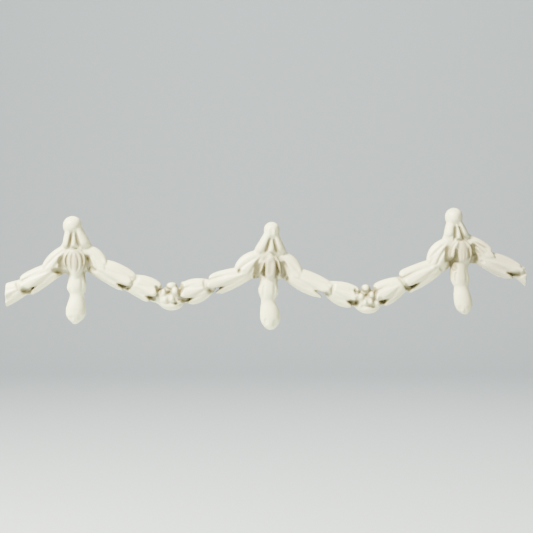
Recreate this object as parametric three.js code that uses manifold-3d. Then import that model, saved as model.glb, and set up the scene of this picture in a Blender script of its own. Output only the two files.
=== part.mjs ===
import * as THREE from 'three';
import { mergeVertices } from 'three/addons/utils/BufferGeometryUtils.js';
import Module from 'manifold-3d';

// A festoon ornament cast in one piece: garlands of husks that sag between three crowns, a rosette at the
// foot of each full sag, and a husk and bud that hang from each crown. Millimetres, +Z up. The flat back lies
// in the plane Y = 0, the carving stands towards -Y, and the origin is behind the heart of the centre crown,
// the point where its crest meets its bellflower.

const wasm = await Module();
wasm.setup();

// Where the crowns, rosettes and ends are
const leftPitch = 118.2; // from the centre crown's heart across to the left crown's
const rightPitch = 112.6;
const leftLift = 3.5; // of the left crown's heart above the centre crown's
const rightLift = 8.6;
const rightLean = 6.6; // degrees that the right crown's foot swings to the right
const rosetteShare = 0.512; // how far along a pitch each rosette lies, from the centre crown
const leftSag = 25.6; // of the rosette's middle below the centre crown's heart
const rightSag = 27.4;
const leftOverhang = 41.2; // from the left crown's heart to the left cut end
const rightOverhang = 40.3;
const leftEndSag = 27.9; // of the garland's middle at the cut end, below that crown's heart
const rightEndSag = 21.6;
const rootDrop = 9; // below a crown's heart, where its garlands spring

// Sizes of a crown, measured from its heart
const crownReach = 20; // out to the tips of the side husks
const crestHeight = 19; // up to the top of the knob
const crownRise = 9.5; // forward from the back face
const knobWidth = 10.6; // of the round knob that tops the crest
const bellflowerHollow = 1.2; // how deep the front petal of the centre crown's bellflower is dished
const pendantDrop = 46; // down to the tip of the bud
const pendantWidth = 12.4;
const pendantRise = 7.6;

// Sizes of the garlands
const huskSpread = 13.5; // across a husk's open mouth
const huskRise = 6.8;
const neckWidth = 7.5; // across a husk where it springs
const neckRise = 3.8;
const coreWidth = 5; // of the stem that runs inside the garland
const rosetteWidth = 15.6;
const rosetteRise = 7.4;

// How the forms are shaped and trimmed
const rimShare = 0.3; // of a form's rise that stands straight up at its outline
const petalRound = 0.8; // how boldly a husk bulges: one is an ellipse, less is fuller
const edgeNotch = 0.04; // how far a husk's outline stops short of its outer tips
const mouthDepth = 0.78; // how far along a husk the bottom of its mouth lies
const trim = 2; // how far each form runs behind the back face before it is cut flat
const clear = 20; // how far the cutting blocks reach past the casting

const resinMaterial = new THREE.MeshStandardMaterial({ color: 0xefebd8, roughness: 0.5, metalness: 0 });

// Only positions are left, so the corners that faces share can be merged.
function closedShape(geometry) {
  geometry.deleteAttribute('normal');
  geometry.deleteAttribute('uv');
  return mergeVertices(geometry, 1e-4);
}

function solidOf(shape) {
  const mesh = new wasm.Mesh({
    numProp: 3,
    vertProperties: shape.attributes.position.array,
    triVerts: new Uint32Array(shape.index.array),
  });
  return new wasm.Manifold(mesh);
}

// Moves every corner of a sphere: across and front are the cosine and sine of its angle round the axis, zero
// at the two poles, and t runs from 0 at the first pole to 1 at the second. The new corner is x, z and a
// height in front of the back face.
function drawnSphere(around, along, corner) {
  const shape = closedShape(new THREE.SphereGeometry(1, around, along));
  const corners = shape.attributes.position;
  for (let i = 0; i < corners.count; i += 1) {
    const ring = Math.hypot(corners.getX(i), corners.getZ(i));
    const isPole = ring < 1e-6;
    const across = isPole ? 0 : corners.getX(i) / ring;
    const front = isPole ? 0 : corners.getZ(i) / ring;
    const t = (1 - corners.getY(i)) / 2;
    const { x, z, height } = corner({ t, across, front, isPole });
    corners.setXYZ(i, x, front < -0.1 ? trim : -height, z);
  }
  return solidOf(shape);
}

function curve(from, bend, tip) {
  return new THREE.QuadraticBezierCurve(
    new THREE.Vector2(...from),
    new THREE.Vector2(...bend),
    new THREE.Vector2(...tip),
  );
}

// A lobe, bud, knob or berry along a curve. It swells from its start share to full width at its peak and
// closes again: a blunt or point of a half is round, one of one or more is sharper. It rolls over towards its
// tip.
function form({
  from,
  tip,
  bend = [(from[0] + tip[0]) / 2, (from[1] + tip[1]) / 2],
  width,
  rise,
  start = 0,
  startRise = start,
  peak = 0.5,
  blunt = 1,
  point = 0.5,
  roll = 0.6,
  edge = rimShare,
  around = 8,
  along = 7,
}) {
  const spine = curve(from, bend, tip);
  const rim = rise * edge;
  return drawnSphere(around, along, ({ t, across, front, isPole }) => {
    const middle = spine.getPoint(t);
    const heading = spine.getTangent(t);
    const before = Math.max(0, 1 - t / peak);
    const after = Math.max(0, (t - peak) / (1 - peak));
    const opening = start + (1 - start) * (1 - before ** 2) ** blunt;
    const half = isPole ? 0 : (width / 2) * opening * Math.max(0, 1 - after ** 2) ** point;
    const climb = startRise + (1 - startRise) * (1 - before ** 2) ** blunt;
    const over = Math.max(0, (t - roll) / (1 - roll));
    const top = Math.max(rim, rise * climb * Math.sqrt(Math.max(0, 1 - over ** 2)));
    const reach = half * (front < -0.1 ? Math.round(across) : across);
    return {
      x: middle.x - heading.y * reach,
      z: middle.y + heading.x * reach,
      height: isPole ? rim / 2 : rim + (top - rim) * Math.max(0, front),
    };
  });
}

// A husk, or bellflower: it opens from its neck to a hollow mouth with a tip for each of its petals. One edge
// runs to the first tip and the other to the last, each bowed outwards, and a ridge runs to the middle tip.
// Petals lists how far each reaches, as shares of the way to the tips, and a notch is cut between neighbours.
function husk({
  neck,
  tips,
  bows = [0.12, 0.12],
  width = neckWidth,
  rise = huskRise,
  startRise = neckRise / huskRise,
  petals = [1, 1, 1],
  notches = [0.06, 0.16],
  groove = 0.22,
  hollow = 0,
  shoulder = 0.45,
  edge: edgeShare = rimShare,
  facets = 8,
  along = 7,
}) {
  const [first, middleTip, last] = tips.map((tip) => new THREE.Vector2(...tip));
  const root = new THREE.Vector2(...neck);
  const heading = middleTip.clone().sub(root).normalize();
  const side = new THREE.Vector2(-heading.y, heading.x);
  const isFirstAside = first.clone().sub(root).dot(side) > last.clone().sub(root).dot(side);
  const edge = (tip, sign, bow) => {
    const from = root.clone().addScaledVector(side, (sign * width) / 2);
    const run = tip.clone().sub(from);
    const outwards = new THREE.Vector2(-run.y, run.x).multiplyScalar(sign * bow);
    const bend = from.clone().addScaledVector(run, 0.6).add(outwards);
    return curve(from.toArray(), bend.toArray(), tip.toArray());
  };
  const aside = isFirstAside ? edge(first, 1, bows[0]) : edge(last, 1, bows[1]);
  const below = isFirstAside ? edge(last, -1, bows[1]) : edge(first, -1, bows[0]);
  const reaches = isFirstAside ? petals : [...petals].reverse();
  const [nearNotch, farNotch] = isFirstAside ? notches : [...notches].reverse();
  const notchAt = (turn) => {
    if (turn < 0.01 || turn > 0.99) {
      return edgeNotch;
    }
    return turn < 0.5 ? nearNotch : farNotch;
  };
  const ridge = curve(neck, root.clone().lerp(middleTip, 0.5).toArray(), middleTip.toArray());
  const lastRing = (1 - Math.cos((Math.PI * (along - 1)) / along)) / 2;
  const rim = rise * edgeShare;
  return drawnSphere(facets * petals.length, along, ({ t, across, front, isPole }) => {
    const turn = Math.acos(across) / Math.PI;
    const petal = Math.min(petals.length - 1, Math.floor(turn * petals.length));
    const offCentre = Math.abs(turn * petals.length - petal - 0.5) * 2;
    const isEdge = turn < 0.01 || turn > 0.99;
    const isBehind = front < -0.1;
    const cleft = offCentre ** 2;
    const reach = isBehind ? 1 - farNotch : reaches[petal] * (1 - notchAt(turn) * cleft);
    const isMouth = isPole && t > 0.5;
    const share = isMouth ? mouthDepth : Math.min(1, t / lastRing) * reach;
    const middle = ridge.getPoint(share);
    const outer = (across > 0 ? aside : below).getPoint(share);
    const spread = isBehind ? Math.abs(Math.round(across)) : Math.abs(across);
    const before = Math.max(0, 1 - share / shoulder);
    const top = rise * (startRise + (1 - startRise) * (1 - before ** 2));
    const sunk = isEdge ? 0 : groove * share * cleft;
    const dished = hollow * Math.max(0, 1 - offCentre) * Math.max(0, front) ** 6;
    const carved = rim + (top - rim) * Math.max(0, front) ** petalRound * (1 - sunk) - dished;
    return {
      x: isPole ? middle.x : middle.x + (outer.x - middle.x) * spread,
      z: isPole ? middle.y : middle.y + (outer.y - middle.y) * spread,
      height: isPole ? rim : carved,
    };
  });
}

// Places on a crown, in shares of its crest upwards, of its reach across and down, and of its pendant.
function crownFrame({ x, z, lean }) {
  const turn = THREE.MathUtils.degToRad(lean);
  const place = (across, up) => [
    x + across * Math.cos(turn) - up * Math.sin(turn),
    z + across * Math.sin(turn) + up * Math.cos(turn),
  ];
  return {
    crest: ([across, up]) => place(across * crownReach, up * crestHeight),
    bell: ([across, down]) => place(across * crownReach, -down * crownReach),
    pendant: ([across, down]) => place(across * pendantWidth, -down * pendantDrop),
    root: place(0, -rootDrop),
  };
}

// The crest: a knob on a neck of two lobes, with a teardrop between them.
function crestForms({ crest }, { knobAcross, knobShare, leftLobe, rightLobe }) {
  const lobe = (side, [bend, foot]) =>
    form({
      from: crest([knobAcross + side * 0.11, 0.62]),
      bend: crest(bend),
      tip: crest(foot),
      width: crownReach * 0.3,
      rise: crownRise * 0.76,
      start: 0.7,
      peak: 0.55,
      roll: 0.7,
    });
  return [
    form({
      from: crest([knobAcross, 1]),
      tip: crest([knobAcross, 0.44]),
      width: knobWidth * knobShare,
      rise: crownRise,
      blunt: 0.5,
      along: 8,
    }),
    form({
      from: crest([knobAcross, 0.72]),
      tip: crest([0, -0.15]),
      width: knobWidth * knobShare * 0.9,
      rise: crownRise * 0.55,
      start: 0.9,
      peak: 0.6,
    }),
    lobe(-1, leftLobe),
    lobe(1, rightLobe),
    form({
      from: crest([knobAcross * 0.4, 0.48]),
      tip: crest([0, -0.06]),
      width: crownReach * 0.21,
      rise: crownRise * 0.86,
      start: 0.05,
      startRise: 0.75,
      peak: 0.75,
      roll: 0.85,
      edge: 0.6,
    }),
  ];
}

// The front of a crown: the low body behind its heart, a side husk each way and the bellflower over them.
function bloomForms({ bell }, { leftHusk, rightHusk, bellflower }) {
  const sideHusk = (side, { tips, petals, bows }) =>
    husk({
      neck: bell([side * 0.17, 0.1]),
      tips: tips.map(bell),
      bows,
      petals,
      width: crownReach * 0.55,
      rise: crownRise * 0.82,
      startRise: 0.8,
      notches: [0.08, 0.14],
      groove: 0.34,
      edge: 0.4,
      facets: 4,
    });
  return [
    form({
      from: bell([0, -0.2]),
      tip: bell([0, 0.85]),
      width: crownReach * 1.1,
      rise: crownRise * 0.5,
      start: 0.55,
      peak: 0.65,
    }),
    sideHusk(-1, leftHusk),
    sideHusk(1, rightHusk),
    husk({
      neck: bell([0, -0.04]),
      tips: bellflower.tips.map(bell),
      bows: bellflower.bows,
      width: crownReach * 0.2,
      rise: crownRise,
      startRise: 0.8,
      notches: [0.3, 0.3],
      groove: 0.5,
      hollow: bellflowerHollow * bellflower.hollow,
      edge: 0.7,
    }),
  ];
}

// What hangs from a crown: a husk with two side petals, a waist, and a bud that ends in a blunt point.
function pendantForms({ pendant }, { huskTips, waist, budTip, point }) {
  return [
    husk({
      neck: pendant([waist, 0.2]),
      tips: huskTips.map(pendant),
      bows: [0.12, 0.12],
      width: pendantWidth * 0.62,
      rise: pendantRise * 0.94,
      startRise: 0.8,
      notches: [0.1, 0.1],
      groove: 0.16,
      facets: 4,
    }),
    form({
      from: pendant([waist, 0.5]),
      tip: pendant([budTip, 1]),
      width: pendantWidth,
      rise: pendantRise,
      start: 0.68,
      peak: 0.55,
      point,
      roll: 0.62,
      along: 8,
    }),
  ];
}

// Half a garland, from a crown's root to a rosette or a cut end: the places on it are [along, across], along
// in shares of its length and across in shares of a husk's spread, upwards positive.
function garlandFrame(root, end) {
  const line = new THREE.Vector2(end[0] - root[0], end[1] - root[1]);
  const up = new THREE.Vector2(-line.y, line.x).normalize();
  if (up.y < 0) {
    up.negate();
  }
  return ([along, across]) => [
    root[0] + line.x * along + up.x * across * huskSpread,
    root[1] + line.y * along + up.y * across * huskSpread,
  ];
}

// The stem inside half a garland, which carries the husks
function coreForm(root, end) {
  return form({
    from: root,
    tip: end,
    width: coreWidth,
    rise: neckRise * 0.9,
    start: 1,
    point: 0.1,
    around: 6,
  });
}

// A rosette: berries in an outer and an inner ring over a low round base.
function rosetteForms([x, z], outerAngles, innerAngles) {
  const berry = (angle, radius, width, rise) => {
    const turn = THREE.MathUtils.degToRad(angle);
    const centre = [x + radius * Math.cos(turn), z + radius * Math.sin(turn)];
    return form({
      from: [centre[0], centre[1] + width / 2],
      tip: [centre[0], centre[1] - width / 2],
      width,
      rise,
      startRise: 0.5,
      blunt: 0.5,
      roll: 0.5,
      along: 6,
    });
  };
  const base = form({
    from: [x - rosetteWidth * 0.85, z],
    tip: [x + rosetteWidth * 0.85, z],
    width: rosetteWidth * 0.86,
    rise: rosetteRise * 0.5,
    startRise: 0.8,
    blunt: 0.4,
    point: 0.4,
  });
  return [
    base,
    ...outerAngles.map((angle) => berry(angle, rosetteWidth * 0.31, rosetteWidth * 0.46, rosetteRise * 0.85)),
    ...innerAngles.map((angle) => berry(angle, rosetteWidth * 0.2, rosetteWidth * 0.38, rosetteRise)),
  ];
}

// The three crowns, with the pose that each was cast in
const crowns = {
  left: {
    x: -leftPitch,
    z: leftLift,
    lean: 0,
    crest: {
      knobAcross: -0.06,
      knobShare: 1.075,
      leftLobe: [[-0.22, 0.28], [-0.2, -0.06]],
      rightLobe: [[0.24, 0.34], [0.32, -0.02]],
    },
    bloom: {
      leftHusk: {
        tips: [[-1, 0.58], [-0.8, 0.74], [-0.32, 0.8]],
        petals: [1, 1, 0.97, 1],
        bows: [0.2, -0.04],
      },
      rightHusk: {
        tips: [[1, 0.42], [0.89, 0.68], [0.38, 0.72]],
        petals: [1, 1, 0.9, 1],
        bows: [0.28, -0.04],
      },
      bellflower: {
        tips: [[-0.23, 0.72], [0.05, 0.86], [0.27, 0.6]],
        bows: [0.3, 0.22],
        hollow: 0,
      },
    },
    pendant: {
      huskTips: [[-0.36, 0.585], [0.13, 0.66], [0.54, 0.585]],
      waist: 0.12,
      budTip: -0.03,
      point: 0.5,
    },
  },
  centre: {
    x: 0,
    z: 0,
    lean: 0,
    crest: {
      knobAcross: 0.02,
      knobShare: 0.925,
      leftLobe: [[-0.19, 0.36], [-0.38, 0.04]],
      rightLobe: [[0.13, 0.34], [0.32, -0.02]],
    },
    bloom: {
      leftHusk: {
        tips: [[-1.14, 0.44], [-0.87, 0.63], [-0.44, 0.78]],
        petals: [1, 1, 1, 1],
        bows: [0.31, -0.02],
      },
      rightHusk: {
        tips: [[0.95, 0.57], [0.81, 0.7], [0.38, 0.8]],
        petals: [1, 1, 1, 0.94],
        bows: [0.3, -0.02],
      },
      bellflower: {
        tips: [[-0.38, 0.57], [-0.03, 0.86], [0.29, 0.6]],
        bows: [0.12, 0.14],
        hollow: 1,
      },
    },
    pendant: {
      huskTips: [[-0.58, 0.57], [-0.13, 0.67], [0.31, 0.56]],
      waist: -0.14,
      budTip: -0.05,
      point: 0.35,
    },
  },
  right: {
    x: rightPitch,
    z: rightLift,
    lean: rightLean,
    crest: {
      knobAcross: -0.065,
      knobShare: 1,
      leftLobe: [[-0.26, 0.28], [-0.36, 0]],
      rightLobe: [[0.06, 0.36], [0.18, -0.06]],
    },
    bloom: {
      leftHusk: {
        tips: [[-1.06, 0.53], [-0.85, 0.78], [-0.48, 0.92]],
        petals: [1, 1, 1],
        bows: [0.32, 0],
      },
      rightHusk: {
        tips: [[0.93, 0.34], [0.95, 0.62], [0.38, 0.83]],
        petals: [1, 1, 1, 1],
        bows: [0.13, -0.02],
      },
      bellflower: {
        tips: [[-0.28, 0.57], [0.02, 0.88], [0.28, 0.6]],
        bows: [0.16, 0.2],
        hollow: 1 / 3,
      },
    },
    pendant: {
      huskTips: [[-0.54, 0.58], [-0.14, 0.66], [0.3, 0.57]],
      waist: -0.16,
      budTip: -0.1,
      point: 0.45,
    },
  },
};

// Where the garlands meet or end
const rosettes = {
  left: [-leftPitch * rosetteShare, -leftSag],
  right: [rightPitch * rosetteShare, -rightSag],
};
const ends = {
  left: [-leftPitch - leftOverhang, leftLift - leftEndSag],
  right: [rightPitch + rightOverhang, rightLift - rightEndSag],
};

// Each half garland has a husk beside its crown and one that follows it. The tips are the upper, the middle
// and the lower one.
const garlands = [
  {
    crown: 'left',
    end: ends.left,
    husks: [
      {
        neck: [0.14, 0.1],
        spread: 1.05,
        tips: [[0.74, 0.47], [0.77, -0.06], [0.68, -0.53]],
        bows: [0.08, 0.02],
      },
      {
        neck: [0.65, -0.04],
        spread: 1.05,
        tips: [[1.2, 0.5], [1.25, 0], [1.22, -0.5]],
        bows: [0.05, 0.08],
      },
    ],
  },
  {
    crown: 'left',
    end: rosettes.left,
    husks: [
      {
        neck: [0.11, 0.15],
        spread: 1.05,
        tips: [[0.63, 0.4], [0.58, -0.07], [0.53, -0.53]],
        bows: [0.16, 0.03],
      },
      {
        neck: [0.56, -0.05],
        spread: 1.35,
        tips: [[0.9, 0.35], [0.84, -0.13], [0.81, -0.62]],
        bows: [0.2, 0.02],
      },
    ],
  },
  {
    crown: 'centre',
    end: rosettes.left,
    husks: [
      {
        neck: [0.1, 0.11],
        spread: 0.65,
        tips: [[0.59, 0.47], [0.63, -0.01], [0.56, -0.52]],
        bows: [0.07, 0.05],
      },
      {
        neck: [0.57, -0.04],
        spread: 0.8,
        tips: [[0.93, 0.43], [0.91, -0.12], [0.87, -0.61]],
        bows: [0.2, 0.22],
      },
    ],
  },
  {
    crown: 'centre',
    end: rosettes.right,
    husks: [
      {
        neck: [0.1, 0.07],
        spread: 0.95,
        tips: [[0.61, 0.24], [0.61, -0.14], [0.55, -0.63]],
        bows: [0.1, 0.12],
      },
      {
        neck: [0.56, -0.06],
        spread: 0.95,
        tips: [[0.9, 0.36], [0.89, -0.09], [0.87, -0.63]],
        bows: [0.15, 0.22],
      },
    ],
  },
  {
    crown: 'right',
    end: rosettes.right,
    husks: [
      {
        neck: [0.1, 0.04],
        spread: 0.8,
        tips: [[0.63, 0.49], [0.59, -0.19], [0.59, -0.6]],
        bows: [0.04, 0.1],
      },
      {
        neck: [0.58, -0.06],
        spread: 0.95,
        tips: [[0.9, 0.46], [0.9, -0.2], [0.88, -0.67]],
        bows: [0.12, 0.13],
      },
    ],
  },
  {
    crown: 'right',
    end: ends.right,
    husks: [
      {
        neck: [0.18, 0.09],
        spread: 0.85,
        tips: [[0.88, 0.38], [0.93, 0.15], [0.8, -0.44]],
        bows: [0.17, 0.05],
      },
      {
        neck: [0.8, 0.05],
        spread: 0.8,
        tips: [[1.3, 0.35], [1.35, 0], [1.3, -0.75]],
        bows: [0.05, 0],
      },
    ],
  },
];

function crownForms(crown) {
  const frame = crownFrame(crown);
  return [
    ...crestForms(frame, crown.crest),
    ...bloomForms(frame, crown.bloom),
    ...pendantForms(frame, crown.pendant),
  ];
}

function garlandForms({ crown, end, husks }) {
  const { root } = crownFrame(crowns[crown]);
  const place = garlandFrame(root, end);
  return [
    coreForm(root, end),
    ...husks.map(({ neck, spread, tips, bows }) =>
      husk({ neck: place(neck), tips: tips.map(place), bows, width: neckWidth * spread }),
    ),
  ];
}

function cutter(size, centre) {
  const block = new THREE.BoxGeometry(...size);
  block.translate(...centre);
  return solidOf(closedShape(block));
}

// Joins every form, then cuts the back flat and both ends square.
function castOrnament() {
  const forms = [
    ...Object.values(crowns).flatMap(crownForms),
    ...garlands.flatMap(garlandForms),
    ...rosetteForms(rosettes.left, [92, 214, 267, 325], [45, 165, 225, 285]),
    ...rosetteForms(rosettes.right, [100, 214, 266, 326], [42, 172, 238, 306]),
  ];
  const joined = forms.reduce((whole, next) => whole.add(next));
  const length = ends.right[0] - ends.left[0] + 2 * clear;
  const middle = (ends.left[0] + ends.right[0]) / 2;
  const height = 4 * pendantDrop;
  const depth = 4 * crownRise;
  return joined
    .subtract(cutter([length, clear, height], [middle, clear / 2, 0]))
    .subtract(cutter([clear, depth, height], [ends.left[0] - clear / 2, 0, 0]))
    .subtract(cutter([clear, depth, height], [ends.right[0] + clear / 2, 0, 0]));
}

function geometryOf(solid) {
  const { vertProperties, triVerts } = solid.getMesh();
  const geometry = new THREE.BufferGeometry();
  geometry.setAttribute('position', new THREE.BufferAttribute(vertProperties, 3));
  geometry.setIndex(new THREE.BufferAttribute(triVerts, 1));
  return geometry;
}

const festoonSwag = new THREE.Mesh(geometryOf(castOrnament()), resinMaterial);
festoonSwag.name = 'festoon_swag';

const ornament = new THREE.Group();
ornament.add(festoonSwag);

export default ornament;
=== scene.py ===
import math

import bmesh
import bpy
import numpy
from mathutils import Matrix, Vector
from mathutils.bvhtree import BVHTree


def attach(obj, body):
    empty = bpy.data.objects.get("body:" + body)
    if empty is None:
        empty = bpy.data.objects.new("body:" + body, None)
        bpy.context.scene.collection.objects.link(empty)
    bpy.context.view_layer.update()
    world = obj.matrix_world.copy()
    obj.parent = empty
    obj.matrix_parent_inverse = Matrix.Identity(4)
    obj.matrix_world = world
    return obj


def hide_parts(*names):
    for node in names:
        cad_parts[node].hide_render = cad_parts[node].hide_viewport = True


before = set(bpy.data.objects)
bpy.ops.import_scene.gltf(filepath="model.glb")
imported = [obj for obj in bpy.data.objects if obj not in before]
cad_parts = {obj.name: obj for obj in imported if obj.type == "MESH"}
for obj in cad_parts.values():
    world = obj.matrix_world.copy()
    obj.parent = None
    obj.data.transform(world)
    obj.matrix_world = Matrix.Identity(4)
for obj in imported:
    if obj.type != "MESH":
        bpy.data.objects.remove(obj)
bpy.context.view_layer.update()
bpy.ops.object.select_all(action='DESELECT')

mm = 0.001

# Places are [x, z] in millimetres on the back face, which lies in Y = 0. The front faces -Y.


studio = {
    'pictureWidth': 319.8,          # mm across the picture, where the ornament is
    'frontDepth': 4,                # mm in front of the back, where that width is measured
    'middle': (-2.9, -7.9),         # mm, what the picture's middle looks at
    'lens': 100,
    'sensor': 36,
    # each light's place, size, power and colour, and the place that it shines on
    'lights': {
        'keyLight': ((-0.76, -0.56, 0.92), 0.35, 125, (1, 0.985, 0.82), (0, 0, -0.01)),
        'fillLight': ((0.8, -1.3, 0.3), 1.0, 1.2, (1, 1, 0.98), (0, 0, -0.01)),
        'backLight': ((0.2, 1.0, 1.1), 0.9, 8, (1, 1, 1), (0, 0, -0.01)),
        'frontLight': ((0, -4, 2), 2, 90, (1, 1, 1), (0, -4.2, -0.2)),
        'paperLight': ((0, 1.3, 1.7), 1.6, 30, (1, 1, 1), (0, 3.4, 0.1)),
    },
    'floorDrop': 240,               # mm below the ornament's middle
    'paperMiddle': -2.35,           # m along Y
    'paperSize': (14, 9.3),         # m
    'paperEdge': 2,                 # m along Y, before its far edge
    'bendSteps': 10,
    'bendStep': 0.14,               # m
    'wallHeight': 3,                # m
    'paperColour': (0.62, 0.68, 0.71, 1),
    'paperRoughness': 0.95,
    'paperGloss': 0.1,
    'worldColour': (0.86, 0.86, 0.84, 1),
    'worldStrength': 0.28,
}


def addLight(name, place, size, power, colour, aim):
    bpy.ops.object.light_add(type='AREA', location=place)
    lamp = bpy.context.object
    lamp.name = name
    lamp.data.shape = 'DISK'
    lamp.data.size = size
    lamp.data.energy = power
    lamp.data.color = colour
    lamp.rotation_euler = (Vector(aim) - lamp.location).to_track_quat('-Z', 'Y').to_euler()


def buildStudio():
    s = studio
    distance = s['pictureWidth'] * s['lens'] / s['sensor']
    bpy.ops.object.camera_add(
        location=(s['middle'][0] * mm, -(distance + s['frontDepth']) * mm, s['middle'][1] * mm),
        rotation=(math.pi / 2, 0, 0))
    camera = bpy.context.object
    camera.name = 'camera'
    camera.data.lens = s['lens']
    camera.data.sensor_width = s['sensor']
    bpy.context.scene.camera = camera

    for name, light in s['lights'].items():
        addLight(name, *light)

    # paper that runs along the floor and curves up far behind
    bpy.ops.mesh.primitive_plane_add(size=1, location=(0, s['paperMiddle'], -s['floorDrop'] * mm))
    paper = bpy.context.object
    paper.name = 'studioPaper'
    paper.scale = (*s['paperSize'], 1)
    bpy.ops.object.transform_apply(location=True, rotation=True, scale=True)
    bpy.ops.object.mode_set(mode='EDIT')
    selectPlaces(paper, lambda co: co.y > s['paperEdge'])
    for step in range(s['bendSteps']):
        angle = math.radians(90 / s['bendSteps'] * (step + 0.5))
        bpy.ops.mesh.extrude_region_move(
            TRANSFORM_OT_translate={"value": (0, s['bendStep'] * math.cos(angle), s['bendStep'] * math.sin(angle))})
    bpy.ops.mesh.extrude_region_move(TRANSFORM_OT_translate={"value": (0, 0, s['wallHeight'])})
    bpy.ops.object.mode_set(mode='OBJECT')
    bpy.ops.object.shade_smooth()
    paint = bpy.data.materials.new('studioPaperPaint')
    paint.use_nodes = True
    shader = paint.node_tree.nodes['Principled BSDF']
    shader.inputs['Base Color'].default_value = s['paperColour']
    shader.inputs['Roughness'].default_value = s['paperRoughness']
    shader.inputs['Specular IOR Level'].default_value = s['paperGloss']
    paper.data.materials.append(paint)

    world = bpy.data.worlds.new('studioWorld')
    world.use_nodes = True
    sky = world.node_tree.nodes['Background']
    sky.inputs['Color'].default_value = s['worldColour']
    sky.inputs['Strength'].default_value = s['worldStrength']
    bpy.context.scene.world = world
    print('studio: camera, five lights and paper')


def selectPlaces(piece, test):
    # in edit mode: what passes the test is selected, the rest isn't
    sheet = bmesh.from_edit_mesh(piece.data)
    sheet.verts.ensure_lookup_table()
    for corner in sheet.verts:
        corner.select = bool(test(corner.co))
    sheet.select_flush(True)
    sheet.select_flush(False)
    bmesh.update_edit_mesh(piece.data)


casting = {
    'rim': 0.3,                     # share of a form's rise that stands straight up at its outline
    'thinnest': 0.06,               # mm, half across or half up a ring
    'voxel': 0.3,                   # mm
    'blend': 16,                    # how far the forms run into each other before they are carved
    'smoothing': 3,                 # after they are carved
    'softness': 0.5,
    'floor': 1.2,                   # mm in front of the back that no cut goes below
    'backZone': 0.1,                # mm in front of the back that is pressed flat again
    'triangles': 190000,
    'creaseAngle': 50,
}


def curveAt(start, bend, tip, share):
    a, b, c = (1 - share) ** 2, 2 * share * (1 - share), share ** 2
    return (a * start[0] + b * bend[0] + c * tip[0], a * start[1] + b * bend[1] + c * tip[1])


def headingOn(start, bend, tip, share):
    before = curveAt(start, bend, tip, share - 0.01)
    after = curveAt(start, bend, tip, share + 0.01)
    return math.atan2(after[1] - before[1], after[0] - before[0])


def drawOut(name, rings, rim, sides):
    # rings: x, z, heading, half width and half height, from the neck to the tip
    x, z, heading, half, high = rings[0]
    bpy.ops.mesh.primitive_circle_add(vertices=sides, radius=half * mm, fill_type='NGON',
                                      location=(x * mm, -rim * mm, z * mm),
                                      rotation=(0, math.pi / 2 - heading, 0))
    piece = bpy.context.object
    piece.name = name
    bpy.ops.object.transform_apply(location=True, rotation=True, scale=True)
    bpy.ops.object.mode_set(mode='EDIT')
    bpy.ops.mesh.select_all(action='SELECT')
    bpy.ops.transform.resize(value=(1, high / half, 1), center_override=(x * mm, -rim * mm, z * mm))
    for nextX, nextZ, turned, wide, tall in rings[1:]:
        bpy.ops.mesh.extrude_region_move(
            TRANSFORM_OT_translate={"value": ((nextX - x) * mm, 0, (nextZ - z) * mm)})
        x, z = nextX, nextZ
        centre = (x * mm, -rim * mm, z * mm)
        bpy.ops.transform.resize(value=(wide / half, tall / high, wide / half), center_override=centre)
        swing = (turned - heading + math.pi) % (2 * math.pi) - math.pi
        if abs(swing) > 1e-5:
            bpy.ops.transform.rotate(value=swing, orient_axis='Y', center_override=centre)
        heading, half, high = turned, wide, tall
    return piece


def standOnBack(piece, rim):
    # the hinder half of every ring goes straight back to the flat back face, and the run is cut square
    selectPlaces(piece, lambda co: co.y > (-rim + 0.01) * mm)
    bpy.ops.transform.resize(value=(1, 0, 1), center_override=(0, 0, 0))
    for (end, _), outwards in zip(garland['ends'], (-1, 1)):
        corners = bmesh.from_edit_mesh(piece.data).verts
        if any(corner.co.x * outwards > abs(end) * mm for corner in corners):
            bpy.ops.mesh.select_all(action='SELECT')
            bpy.ops.mesh.bisect(plane_co=(end * mm, 0, 0), plane_no=(outwards, 0, 0), use_fill=True,
                                clear_outer=True)
    bpy.ops.object.mode_set(mode='OBJECT')
    bpy.ops.object.select_all(action='DESELECT')


def drawBud(name, start, tip, width, rise, bend=None, first=0, firstRise=None, peak=0.5, blunt=1, point=0.5,
            roll=0.6, rim=None, rings=16, sides=28):
    # a lobe, petal, knob or berry: it swells to its peak and closes again, and rolls over towards its tip
    bend = bend or ((start[0] + tip[0]) / 2, (start[1] + tip[1]) / 2)
    firstRise = first if firstRise is None else firstRise
    edge = rise * (casting['rim'] if rim is None else rim)
    thinnest = casting['thinnest']
    stations = []
    for k in range(rings + 1):
        t = (1 - math.cos(math.pi * k / rings)) / 2
        before = max(0, 1 - t / peak)
        after = max(0, (t - peak) / (1 - peak))
        swell = (1 - before ** 2) ** blunt
        half = width / 2 * (first + (1 - first) * swell) * max(0, 1 - after ** 2) ** point
        over = max(0, (t - roll) / (1 - roll))
        top = rise * (firstRise + (1 - firstRise) * swell) * math.sqrt(max(0, 1 - over ** 2))
        x, z = curveAt(start, bend, tip, t)
        stations.append((x, z, headingOn(start, bend, tip, t), max(thinnest, half), max(thinnest, top - edge)))
    piece = drawOut(name, stations, edge, sides)
    standOnBack(piece, edge)
    return piece


def drawSlices(name, heart, slices, rim, sides=40):
    # a form that goes straight down, from slices: height on the face, left and right edge, and rise
    stations = []
    for z, left, right, rise in slices:
        stations.append((heart[0] + (left + right) / 2, heart[1] + z, -math.pi / 2, (right - left) / 2,
                         rise - rim))
    piece = drawOut(name, stations, rim, sides)
    standOnBack(piece, rim)
    return piece


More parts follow.
